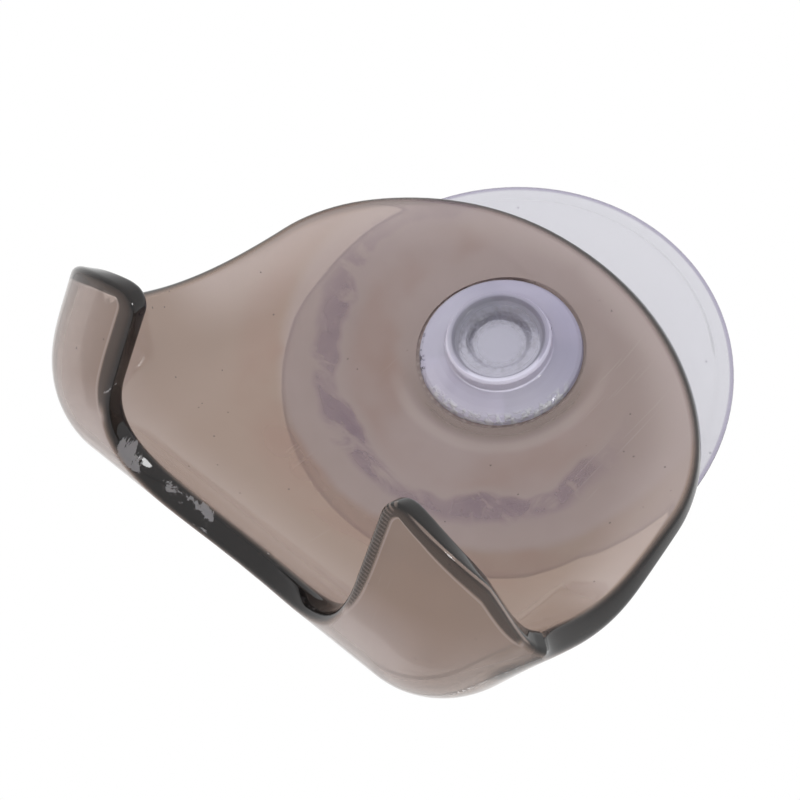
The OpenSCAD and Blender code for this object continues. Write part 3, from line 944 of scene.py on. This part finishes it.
class HOLDER_OT_cup(bpy.types.Operator):
    """Build the clear suction cup with its neck and knob"""

    bl_idname = "holder.cup"
    bl_label = "Suction cup"

    def execute(self, context):
        z, c = context.scene.holder_shell, context.scene.holder_cup
        tints = context.scene.holder_colours
        r, knob, ring, recess = c.rim_r, c.knob_r, c.ring_r, c.recess_r
        shoulder, mid = c.height - c.shoulder_gap, c.lip_t + 0.0005
        seat = c.height + z.wall - z.seat_depth
        face, top = seat + c.knob_rim, seat + c.ring_h
        crisp, soft = 0.0002, 0.0003  # the usual roundings of its corners
        line = rounded([
            # hollow, seal and lip
            (0, c.hollow, 0), (r * 0.3, c.hollow * 0.86, 0.03), (r * 0.6, c.hollow * 0.44, 0.03),
            (r - c.seal_w, 0, 0.004), (r, 0, crisp), (r, c.lip_t * 0.6, crisp),
            (r - c.lip_w, c.lip_t, soft), (r - c.lip_w - 0.0004, mid, soft),
            # dome, shoulder and neck
            ((r + c.shoulder_r) / 2, mid + (shoulder - mid) * 0.42, 0.05),
            (c.shoulder_r + 0.001, shoulder - 0.00045, 0.002), (c.shoulder_r, shoulder, 0.0004),
            (c.neck_r, shoulder, crisp), (c.neck_r, seat, 0.0001),
            # flange
            (knob - 0.0002, seat, 0.0001), (knob, seat + 0.0002, crisp),
            (knob - 0.00015, face - 0.0003, soft), (knob - 0.0005, face, soft),
            (knob - 0.0014, face + 0.00035, 0.002),
            # raised ring
            (ring + 0.0010, face + 0.0008, 0.0006), (ring + 0.0002, face + 0.0013, 0.0006),
            (ring, top - 0.0004, 0.0004), (ring - 0.00022, top, 0.00018),
            (ring - c.ring_w + 0.00035, top, 0.00015), (ring - c.ring_w, top - 0.0005, crisp),
            # recess
            (recess + 0.0003, top - 0.0007, soft), (recess, top - 0.001, soft),
            (recess - 0.0004, top - c.recess_h, soft), (0, top - c.recess_h, 0)])
        mesh = revolved(line, "suction_cup_clear", c.segments)
        piece("suction_cup_clear", mesh, "cup", "suction_cup",
              clear_material("soft_clear_cup", tints.clear, tints.cup_rim, tints.clear_dark,
                             CUP_PLAIN))
        # the same moulding is thicker and milkier at the knob
        mesh.materials.append(
            clear_material("milky_knob", tints.knob, tints.knob, tints.knob_dark, KNOB_PLAIN))
        for poly in mesh.polygons:
            poly.material_index = int(-poly.center.y > seat - 0.0005)
        mesh.set_sharp_from_angle(angle=CUP_SHARP)
        return {"FINISHED"}


class HOLDER_OT_stage(bpy.types.Operator):
    """Set up the pale floor, the soft studio light and the camera"""

    bl_idname = "holder.stage"
    bl_label = "Stage"

    def execute(self, context):
        scene = context.scene
        stage = scene.holder_stage
        # floor
        mesh = bpy.data.meshes.new("studio_floor")
        turns = [2 * math.pi * k / FLOOR_SIDES for k in range(FLOOR_SIDES)]
        ring = [(FLOOR_R * math.cos(q), FLOOR_R * math.sin(q), stage.floor_z) for q in turns]
        mesh.from_pydata(ring, [], [list(range(FLOOR_SIDES))])
        floor = place("studio_floor", mesh)
        mat, t, shader, where = start_material("pale_floor")
        grain = t.noise(where, scale=30.0, detail=2.0)
        t.feed(shader.inputs["Base Color"], t.mix(grain, *FLOOR_TONES))
        shader.inputs["Roughness"].default_value = 0.9
        mesh.materials.append(mat)
        # world: even pale light; white where the camera, gloss or clear plastic sees it
        world = bpy.data.worlds.new("studio_air")
        scene.world = world
        world.use_nodes = True
        world.node_tree.nodes.clear()
        t = Nodes(world.node_tree)
        lit = t.add("ShaderNodeBackground", {"Color": WHITE, "Strength": AIR_LIGHT})
        seen = t.add("ShaderNodeBackground", {"Color": WHITE, "Strength": AIR_SEEN})
        rays = t.add("ShaderNodeLightPath").outputs
        white = t.maths("MAXIMUM", rays["Is Camera Ray"], rays["Is Glossy Ray"])
        white = t.maths("MAXIMUM", white, rays["Is Transmission Ray"])
        air = t.add("ShaderNodeMixShader", {0: white, 1: lit.outputs[0], 2: seen.outputs[0]})
        t.add("ShaderNodeOutputWorld", {"Surface": air.outputs[0]})
        # lamps
        for name, spot, size, share in LAMPS:
            data = bpy.data.lights.new(name, "AREA")
            data.energy, data.size, data.shape = stage.lamp * share, size, "DISK"
            lamp = place(name, data)
            shines = name == HIGHLIGHT_LAMP
            lamp.visible_diffuse, lamp.visible_glossy = not shines, shines
            lamp.visible_transmission = False
            lamp.location = spot
            lamp.rotation_euler = (Vector(AIM) - Vector(spot)).to_track_quat("-Z", "Y").to_euler()
        # camera
        data = bpy.data.cameras.new("camera")
        data.lens, data.sensor_width = LENS, SENSOR
        data.clip_start, data.clip_end = NEAREST, FURTHEST
        cam = place("camera", data)
        right, down = Vector(CAMERA_RIGHT).normalized(), Vector(CAMERA_DOWN)
        down = (down - right * down.dot(right)).normalized()
        rot = Matrix((right, -down, -right.cross(down))).transposed().to_4x4()
        cam.matrix_world = Matrix.Translation(Vector(CAMERA_AT)) @ rot
        scene.camera = cam
        scene.view_settings.view_transform = "Standard"
        return {"FINISHED"}


class HOLDER_PT_panel(bpy.types.Panel):
    """Lists what the add-on builds"""

    bl_idname = "HOLDER_PT_panel"
    bl_label = "Razor holder"
    bl_space_type = "VIEW_3D"
    bl_region_type = "UI"
    bl_category = "Holder"

    def draw(self, context):
        for group in GROUPS:
            box = self.layout.box()
            values = getattr(context.scene, group)
            for key in values.bl_rna.properties.keys():
                if key not in ("rna_type", "name"):
                    box.prop(values, key)
        for op in (HOLDER_OT_shell, HOLDER_OT_cup, HOLDER_OT_stage):
            self.layout.operator(op.bl_idname)


GROUPS = {"holder_shell": ShellSizes, "holder_cup": CupSizes,
          "holder_colours": HolderColours, "holder_stage": StageSizes}
CLASSES = (*GROUPS.values(), HOLDER_OT_shell, HOLDER_OT_cup, HOLDER_OT_stage, HOLDER_PT_panel)


def register():
    for cls in CLASSES:
        bpy.utils.register_class(cls)
    for name, cls in GROUPS.items():
        setattr(bpy.types.Scene, name, PointerProperty(type=cls))


def unregister():
    for name in GROUPS:
        delattr(bpy.types.Scene, name)
    for cls in reversed(CLASSES):
        bpy.utils.unregister_class(cls)


def main():
    register()
    bpy.ops.holder.shell()
    bpy.ops.holder.cup()
    bpy.ops.holder.stage()


if __name__ == "__main__":
    main()
